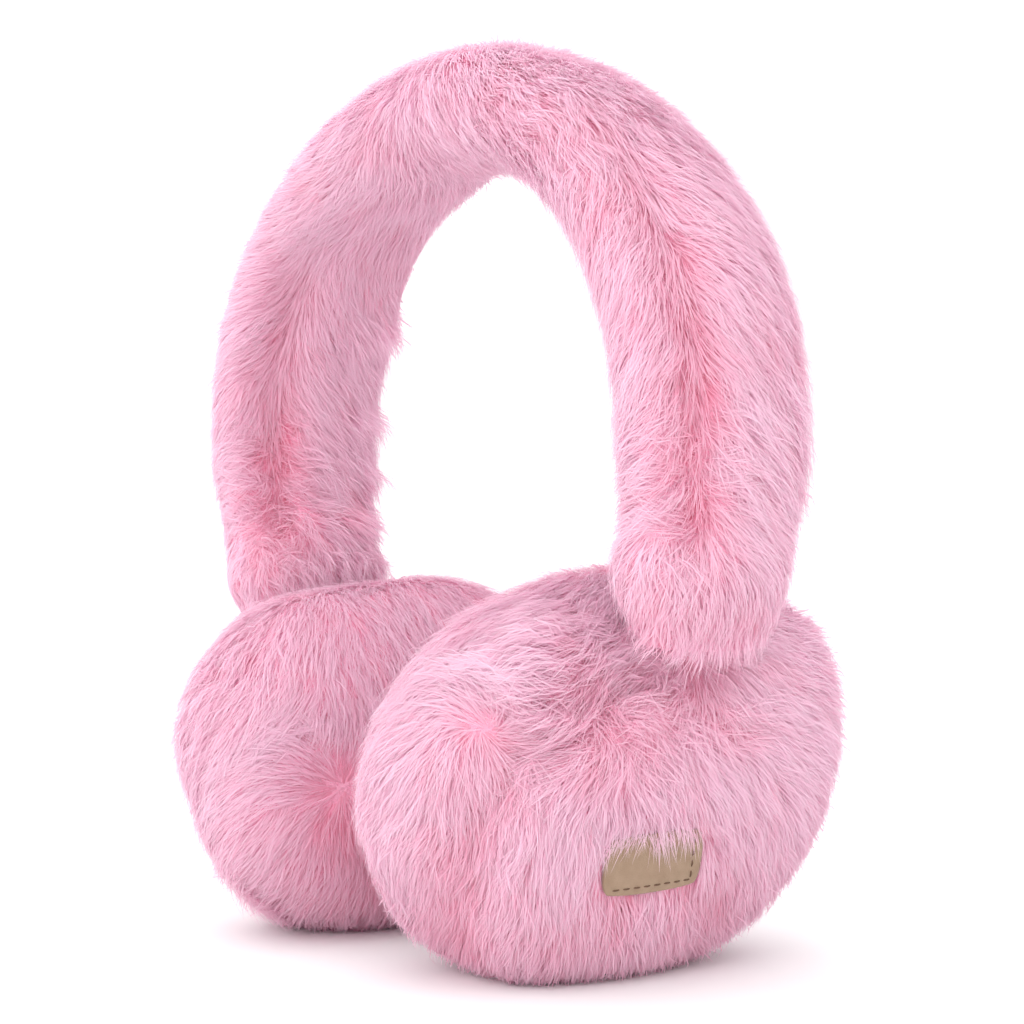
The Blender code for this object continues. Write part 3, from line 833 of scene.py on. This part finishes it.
# %% Combing one level towards the level above it
Level = namedtuple("Level", "roots middles tips turn size rise blush")
Habit = namedtuple("Habit", "turn tangled size rise ragged blush pull_middle pull_tip")
TUFTS = Habit(9.0, 40.0, 0.08, 0.05, 0.30, 0.05, 0.0, 0.0)
STRANDS = Habit(7.0, 40.0, 0.08, 0.05, 0.10, 0.08, 0.05, 0.15)
HAIRS = Habit(10.0, 10.0, 0.20, 0.28, 0.00, 0.04, 0.12, 0.20)
UNDERFUR = Habit(12.0, 20.0, 0.18, 0.24, 0.00, 0.04, 0.10, 0.15)

FUR_LENGTH = 0.0096
MIDDLE_REACH = 0.42
MIDDLE_RISE = 0.70
UNDERFUR_LENGTH = 0.65
UNDERFUR_RISE = 0.75
TANGLE_SHORTER = 0.30
RISE_LIMIT = 0.8
HOLD_RANGE = (0.5, 1.15)
FLOOR_CLEARANCE = 0.0003


def find_nearest(centres, places):
    """For each place, the index of the nearest centre."""
    tree = KDTree(len(centres))
    for i, centre in enumerate(centres):
        tree.insert(centre, i)
    tree.balance()
    return np.array([tree.find(place)[1] for place in places])


def at_height(pad, places, heights):
    """The places, each moved along the pad's nearest normal to stand that high over the pad."""
    near = find_nearest(pad.points, places)
    normals = pad.normals[near]
    return places + normals * (heights - dot(places - pad.points[near], normals))


def grow(pad, count, habit, parent=None, length_share=1.0, rise_share=1.0):
    """One level of the pile: hairs, or the middle lines of strands or tufts."""
    roots = scatter(pad, count)
    marks = roots.marks
    turn = (habit.turn + habit.tangled * marks["tangle"]) * rng.standard_normal(count)
    size = habit.size * rng.standard_normal(count)
    uneven = habit.rise * (1.0 + marks["tangle"]) + habit.ragged * marks["ragged"]
    rise = uneven * rng.standard_normal(count)
    blush = habit.blush * (rng.standard_exponential(count) - 1.0)
    if parent:
        near = find_nearest(parent.roots.places, roots.places)
        turn += parent.turn[near]
        size += parent.size[near]
        rise += parent.rise[near]
        blush += parent.blush[near]
    rise = np.clip(rise, -RISE_LIMIT, RISE_LIMIT)

    angle = np.radians(turn)[:, None]
    heading = marks["lay"] * np.cos(angle) + np.cross(roots.normals, marks["lay"]) * np.sin(angle)
    length = FUR_LENGTH * length_share * np.exp(size) * (1.0 - TANGLE_SHORTER * marks["tangle"])
    length = (length * marks["length"])[:, None]
    height = (FUR_DEPTH * rise_share * marks["full"] * np.exp(rise))[:, None]
    middles = at_height(pad, roots.places + MIDDLE_REACH * length * heading, MIDDLE_RISE * height)
    tips = at_height(pad, roots.places + length * heading, height)
    if parent:
        hold = rng.uniform(*HOLD_RANGE, (count, 1))
        middles += habit.pull_middle * hold * (parent.middles[near] - middles)
        tips += habit.pull_tip * hold * (parent.tips[near] - tips)
    for line in (roots.places, middles, tips):
        line[:, 2] = np.maximum(line[:, 2], FLOOR_CLEARANCE)
    return Level(roots, middles, tips, turn, size, rise, blush)


# %% [markdown]
# ## From hairs to meshes
#
# Each outer hair is a narrow blade of three triangles that bends once, and each hair of the underfur is a
# single long triangle. All blades of a piece are joined in one mesh. A blade lies with its flat side away
# from the pad, with a small twist of its own, so the pile catches light as one soft mass.
# The map holds two facts about each hair: how rosy it is, and how far along it a point lies.

# %% Blades
Blades = namedtuple("Blades", "points triangles shades")
HAIR_WIDTH = 0.00022
UNDERFUR_WIDTH = 0.00032
WIDTH_RANGE = (0.75, 1.25)
MIDDLE_WIDTH = 0.9
TWIST = 10.0
BLUSH_RANGE = (0.02, 0.98)
SHADE_WIDTH = 0.004
ROOT_SHADE = 0.02
MIDDLE_SHADE = 0.5
TIP_SHADE = 0.98
UNDERFUR_TIP_SHADE = 0.80


def make_blades(level, chosen, width, bends):
    """The blades of the chosen hairs of a level, as arrays."""
    root, middle, tip = level.roots.places[chosen], level.middles[chosen], level.tips[chosen]
    normal = level.roots.normals[chosen]
    count = len(root)
    heading = unit(tip - root)
    flat = unit(np.cross(heading, normal))
    twist = np.radians(TWIST * rng.standard_normal((count, 1)))
    side = flat * np.cos(twist) + np.cross(heading, flat) * np.sin(twist)
    half = side * width / 2 * rng.uniform(*WIDTH_RANGE, (count, 1))
    blush = np.clip(level.roots.marks["blush"][chosen] + level.blush[chosen], *BLUSH_RANGE)
    left, right = blush - SHADE_WIDTH, blush + SHADE_WIDTH
    if bends:
        narrow = half * MIDDLE_WIDTH
        rows = [root - half, root + half, middle - narrow, middle + narrow, tip]
        shades = [(left, ROOT_SHADE), (right, ROOT_SHADE), (left, MIDDLE_SHADE), (right, MIDDLE_SHADE)]
        shades.append((blush, TIP_SHADE))
        pattern = np.array([[0, 1, 3], [0, 3, 2], [2, 3, 4]])
    else:
        rows = [root - half, root + half, tip]
        shades = [(left, ROOT_SHADE), (right, ROOT_SHADE), (blush, UNDERFUR_TIP_SHADE)]
        pattern = np.array([[0, 1, 2]])
    corners = len(rows)
    points = np.stack(rows, 1).reshape(-1, 3)
    shade = np.stack([np.stack([u, np.full(count, v)], 1) for u, v in shades], 1).reshape(-1, 2)
    triangles = (np.arange(count)[:, None, None] * corners + pattern).reshape(-1, 3)
    return Blades(points, triangles, shade)


def join_blades(parts):
    starts = np.cumsum([0] + [len(part.points) for part in parts[:-1]])
    return Blades(
        np.vstack([part.points for part in parts]),
        np.vstack([part.triangles + start for part, start in zip(parts, starts)]),
        np.vstack([part.shades for part in parts]),
    )


# %% Joined meshes
def new_piece(name, points, triangles, material):
    """A smooth-shaded mesh object from arrays."""
    mesh = bpy.data.meshes.new(name)
    mesh.from_pydata(points, [], triangles)
    mesh.shade_smooth()
    mesh.materials.append(material)
    piece = bpy.data.objects.new(name, mesh)
    bpy.context.scene.collection.objects.link(piece)
    return piece


def fur_piece(name, blades, material):
    """One joined mesh of hairs, with its map."""
    piece = new_piece(name, blades.points, blades.triangles, material)
    layer = piece.data.uv_layers.new(name="OFBake")
    layer.data.foreach_set("uv", blades.shades[blades.triangles.ravel()].ravel().astype(np.float32))
    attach(piece, "root")
    print(name, "has", len(blades.triangles), "triangles")


# %% [markdown]
# ## The colour of the fur
#
# A hair is deep rose at its root and pale pink at its tip, and some strands are rosier than others. Two
# colour ramps run along the hair, one for the palest strands and one for the rosiest, and the hair's own
# shade mixes them. Depth comes partly by itself: where the pile opens, the roots show. The rest is painted:
# hairs in creases, partings and low down are painted rosier as painted shade, and a few tops paler as
# painted light. A hair is also so thin that light passes through it, so a Translucent shader takes its
# share of the mix and the pile glows softly.

# %% Fur finish
PALE_ROOT = (0.945, 0.69, 0.81, 1.0)
PALE_MIDDLE = (0.945, 0.725, 0.835, 1.0)
PALE_TIP = (0.95, 0.78, 0.87, 1.0)
ROSY_ROOT = (0.86, 0.24, 0.38, 1.0)
ROSY_MIDDLE = (0.92, 0.48, 0.62, 1.0)
ROSY_TIP = (0.945, 0.64, 0.77, 1.0)
FUR_GLOW = 0.5


def colour_ramp(nodes, *stops):
    """A colour ramp with evenly spaced stops."""
    ramp = nodes.new("ShaderNodeValToRGB")
    elements = ramp.color_ramp.elements
    for _ in stops[2:]:
        elements.new(0.5)
    for i, colour in enumerate(stops):
        elements[i].position = i / (len(stops) - 1)
        elements[i].color = colour
    return ramp


def make_fur_finish():
    material, nodes, links, shader = new_finish("pink fur")
    uv = nodes.new("ShaderNodeUVMap")
    uv.uv_map = "OFBake"
    split = nodes.new("ShaderNodeSeparateXYZ")
    pale = colour_ramp(nodes, PALE_ROOT, PALE_MIDDLE, PALE_TIP)
    rosy = colour_ramp(nodes, ROSY_ROOT, ROSY_MIDDLE, ROSY_TIP)
    mix = nodes.new("ShaderNodeMix")
    mix.data_type = "RGBA"
    links.new(uv.outputs["UV"], split.inputs[0])
    links.new(split.outputs["Y"], pale.inputs["Fac"])
    links.new(split.outputs["Y"], rosy.inputs["Fac"])
    links.new(split.outputs["X"], mix.inputs["Factor"])
    links.new(pale.outputs["Color"], mix.inputs["A"])
    links.new(rosy.outputs["Color"], mix.inputs["B"])
    links.new(mix.outputs["Result"], shader.inputs["Base Color"])
    shader.inputs["Roughness"].default_value = 0.7
    shader.inputs["Specular IOR Level"].default_value = 0.1
    glow = nodes.new("ShaderNodeBsdfTranslucent")
    both = nodes.new("ShaderNodeMixShader")
    both.inputs["Fac"].default_value = FUR_GLOW
    links.new(mix.outputs["Result"], glow.inputs["Color"])
    links.new(shader.outputs["BSDF"], both.inputs[1])
    links.new(glow.outputs["BSDF"], both.inputs[2])
    links.new(both.outputs["Shader"], nodes["Material Output"].inputs["Surface"])
    return material


fur_finish = make_fur_finish()


# %% [markdown]
# ## The cloth under the fur
#
# The pile is dense, but between the strands the eye reaches the knitted cloth and the short underfur. That
# is a padded mesh of its own. Its colour comes from noise as fine as short tufts, and its bump from finer
# noise. The suede and the thread further on vary in the same way, so one helper makes all three finishes.

# %% A grainy finish, and the cloth's
Grain = namedtuple("Grain", "scale detail dark light")
Relief = namedtuple("Relief", "scale strength distance")


def grainy_finish(name, grain, roughness, specular, relief=None, sheen=0.0):
    """A matt finish whose colour changes in grains, with fibres standing up from it if given."""
    material, nodes, links, shader = new_finish(name)
    place = nodes.new("ShaderNodeNewGeometry")
    cloud = nodes.new("ShaderNodeTexNoise")
    cloud.inputs["Scale"].default_value = grain.scale
    cloud.inputs["Detail"].default_value = grain.detail
    ramp = colour_ramp(nodes, grain.dark, grain.light)
    links.new(place.outputs["Position"], cloud.inputs["Vector"])
    links.new(cloud.outputs["Fac"], ramp.inputs["Fac"])
    links.new(ramp.outputs["Color"], shader.inputs["Base Color"])
    shader.inputs["Roughness"].default_value = roughness
    shader.inputs["Specular IOR Level"].default_value = specular
    shader.inputs["Sheen Weight"].default_value = sheen
    if relief:
        fibres = nodes.new("ShaderNodeTexNoise")
        bump = nodes.new("ShaderNodeBump")
        fibres.inputs["Scale"].default_value = relief.scale
        bump.inputs["Strength"].default_value = relief.strength
        bump.inputs["Distance"].default_value = relief.distance
        links.new(place.outputs["Position"], fibres.inputs["Vector"])
        links.new(fibres.outputs["Fac"], bump.inputs["Height"])
        links.new(bump.outputs["Normal"], shader.inputs["Normal"])
    return material


SHORT_TUFTS = Grain(380.0, 4.0, (0.80, 0.30, 0.44, 1.0), (0.90, 0.50, 0.63, 1.0))
KNIT = Relief(1500.0, 0.6, 0.0006)
cloth_finish = grainy_finish("rose underfur", SHORT_TUFTS, 0.9, 0.1, KNIT)


# %% The three padded cloths
def close_ends(pad):
    """The band's triangles with a fan over each open end, and the points with the two middles."""
    first, last = np.arange(BAND_SIDES), np.arange(BAND_SIDES) + (BAND_RINGS - 1) * BAND_SIDES
    points = np.vstack([pad.points, pad.points[first].mean(axis=0), pad.points[last].mean(axis=0)])
    fans = []
    for ring, middle in ((first, len(points) - 2), (last[::-1], len(points) - 1)):
        fans.append(np.stack([ring, np.roll(ring, 1), np.full(BAND_SIDES, middle)], 1))
    return points, np.vstack([pad.triangles, *fans])


def cloth_piece(name, points, triangles, node):
    """A padded cloth that stands for a solid."""
    piece = new_piece(name, points, triangles, cloth_finish)
    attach(piece, "root")
    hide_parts(node)


for cup in CUPS:
    pad = cup_pads[cup.name]
    cloth_piece(cup.name + "_cloth", pad.points, pad.triangles, cup.name)
cloth_piece("headband_cloth", *close_ends(band_pad), "headband")

# %% [markdown]
# ## Hair for the cups and the band
#
# Now the pieces of fur. Each is kept under 200,000 triangles, so the band's pile comes in three lengths and
# each cup's in an outer and an inner half.

# %% Cup fur
FurPlan = namedtuple("FurPlan", "tufts strands hairs underfur")
CUP_FUR = {
    "ear_cup_right": FurPlan(700, 9000, 50000, 46000),
    "ear_cup_left": FurPlan(700, 8000, 42000, 38000),
}


def grow_pile(pad, plan):
    """The outer hairs and the underfur of a pad."""
    tufts = grow(pad, plan.tufts, TUFTS)
    strands = grow(pad, plan.strands, STRANDS, tufts)
    hairs = grow(pad, plan.hairs, HAIRS, strands)
    return hairs, grow(pad, plan.underfur, UNDERFUR, strands, UNDERFUR_LENGTH, UNDERFUR_RISE)


def cut_pile(name, pile, low, high):
    """The piece of a pile whose share lies between two bounds."""
    parts = []
    for level, width, bends in zip(pile, (HAIR_WIDTH, UNDERFUR_WIDTH), (True, False)):
        share = level.roots.marks["share"]
        chosen = (share >= low) & (share < high)
        parts.append(make_blades(level, chosen, width, bends))
    fur_piece(name, join_blades(parts), fur_finish)


for cup in CUPS:
    pile = grow_pile(cup_pads[cup.name], CUP_FUR[cup.name])
    cut_pile(cup.name + "_fur_outer", pile, 0.0, math.inf)
    cut_pile(cup.name + "_fur_inner", pile, -math.inf, 0.0)

# %% Band fur
BAND_FUR = FurPlan(1100, 13000, 70000, 65000)
CROWN_FROM, CROWN_TO = 0.33, 0.67

inside_cup = np.zeros(len(band_pad.points), bool)
for cup in CUPS:
    local = to_cup(cup, band_pad.points)
    inside_cup |= cup_fill(local / cup_half(FUR_DEPTH)) < SKIP_FILL
band_pad.marks["cover"][inside_cup] = 0.0
pile = grow_pile(band_pad, BAND_FUR)
cut_pile("band_fur_right", pile, -math.inf, CROWN_FROM)
cut_pile("band_fur_crown", pile, CROWN_FROM, CROWN_TO)
cut_pile("band_fur_left", pile, CROWN_TO, math.inf)

# %% [markdown]
# ## The suede patch
#
# A small strip of tan suede is sewn low on the near cup, with the fur combed over its upper edge. It follows
# the round of the cup, so it is a fine grid laid on the same formula, made a sheet by Solidify.

# %% Suede
PATCH_CELLS = 48
SUEDE_THICKNESS = 0.0011
near_cup = CUPS[0]


def patch_points(a, b, outward):
    """Points over the near cup under the patch's shares, raised outward by a distance."""
    along, upward = a * PATCH_LENGTH / 2, b * PATCH_HEIGHT / 2
    back = along * math.cos(PATCH_SLOPE) - upward * math.sin(PATCH_SLOPE)
    rise = upward * math.cos(PATCH_SLOPE) + along * math.sin(PATCH_SLOPE)
    forward = PATCH_FORWARD - back / (CUP_DEPTH / 2)
    up = PATCH_UP + rise / (CUP_HEIGHT / 2)
    local = np.array([side_place(near_cup, 1, f, u, PATCH_INSET) for f, u in zip(forward, up)])
    local[:, 0] += outward
    return to_frame(near_cup, local)


BRUSHED = Grain(420.0, 5.0, (0.25, 0.165, 0.105, 1.0), (0.38, 0.27, 0.19, 1.0))
NAP = Relief(3200.0, 0.5, 0.0002)
suede_finish = grainy_finish("tan suede", BRUSHED, 0.9, 0.15, NAP, sheen=0.3)

steps = np.linspace(-1.0, 1.0, PATCH_CELLS + 1)
a, b = (grid.ravel() for grid in np.meshgrid(steps, steps, indexing="ij"))
corner = 1.0 - PATCH_CORNER * (np.abs(a) * np.abs(b)) ** 3
patch_grid = patch_points(a * corner, b * corner, PATCH_THICKNESS + SEAT_GAP)
row, column = np.meshgrid(np.arange(PATCH_CELLS), np.arange(PATCH_CELLS), indexing="ij")
first = (row * (PATCH_CELLS + 1) + column).ravel()
quads = np.stack([first, first + PATCH_CELLS + 1, first + PATCH_CELLS + 2, first + 1], 1)
patch = new_piece("suede_patch", patch_grid, quads, suede_finish)
thick = patch.modifiers.new("suede thickness", "SOLIDIFY")
thick.thickness = SUEDE_THICKNESS
thick.offset = -1.0
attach(patch, "root")
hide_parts("label_patch")

# %% [markdown]
# A row of small stitches holds the patch. It runs along the lower edge and up the end towards the back. Each
# stitch is a short bow of brown thread that goes into the suede at both ends.

# %% Stitches
STITCH_LENGTH = 0.0018
STITCH_PITCH = 0.0026
STITCH_WIDTH = 0.00036
STITCH_FROM_LOWER = 0.0017
STITCH_FROM_END = 0.0025
STITCH_BOW = 0.9
STITCH_SINK = 0.5
STITCHES_ALONG = 8
STITCHES_UP = 4
STITCH_RINGS = 7
STITCH_SIDES = 6
THREAD = Grain(4000.0, 2.0, (0.07, 0.035, 0.02, 1.0), (0.16, 0.085, 0.05, 1.0))


def stitch_rings(start, end):
    """Rings of points round one stitch between two places on the patch, in metres from its middle."""
    part = np.linspace(0.0, 1.0, STITCH_RINGS)
    line = np.outer(1.0 - part, start) + np.outer(part, end)
    bow = STITCH_WIDTH * (STITCH_BOW * np.sin(math.pi * part) - STITCH_SINK)
    shares = line / (PATCH_LENGTH / 2, PATCH_HEIGHT / 2)
    top = PATCH_THICKNESS + SEAT_GAP
    centre = patch_points(shares[:, 0], shares[:, 1], top + bow)
    rise = unit(patch_points(shares[:, 0], shares[:, 1], top + 1.0) - centre)
    aside = unit(np.cross(np.gradient(centre, axis=0), rise))
    turn = 2 * math.pi * np.arange(STITCH_SIDES) / STITCH_SIDES
    ring = np.cos(turn)[None, :, None] * aside[:, None] + np.sin(turn)[None, :, None] * rise[:, None]
    return (centre[:, None] + STITCH_WIDTH / 2 * ring).reshape(-1, 3)


lower, back = STITCH_FROM_LOWER - PATCH_HEIGHT / 2, PATCH_LENGTH / 2 - STITCH_FROM_END
stitches = []
for i in range(STITCHES_ALONG):
    end = back - i * STITCH_PITCH
    stitches.append(stitch_rings((end - STITCH_LENGTH, lower), (end, lower)))
for i in range(STITCHES_UP):
    foot = lower + 0.5 * (STITCH_PITCH - STITCH_LENGTH) + i * STITCH_PITCH
    stitches.append(stitch_rings((back, foot), (back, foot + STITCH_LENGTH)))
quads = ring_quads(STITCH_RINGS, STITCH_SIDES)
quads = np.vstack([quads + i * STITCH_RINGS * STITCH_SIDES for i in range(len(stitches))])
thread_finish = grainy_finish("brown thread", THREAD, 0.8, 0.5)
thread = new_piece("patch_stitches", np.vstack(stitches), quads, thread_finish)
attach(thread, "root")
print("the patch has", len(stitches), "stitches")

# %% Measure the result and finish
look_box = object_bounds()
for name, box in (("solids", cad_box), ("visual", look_box)):
    print(name, [[round(1000 * value, 1) for value in corner] for corner in box], "mm")
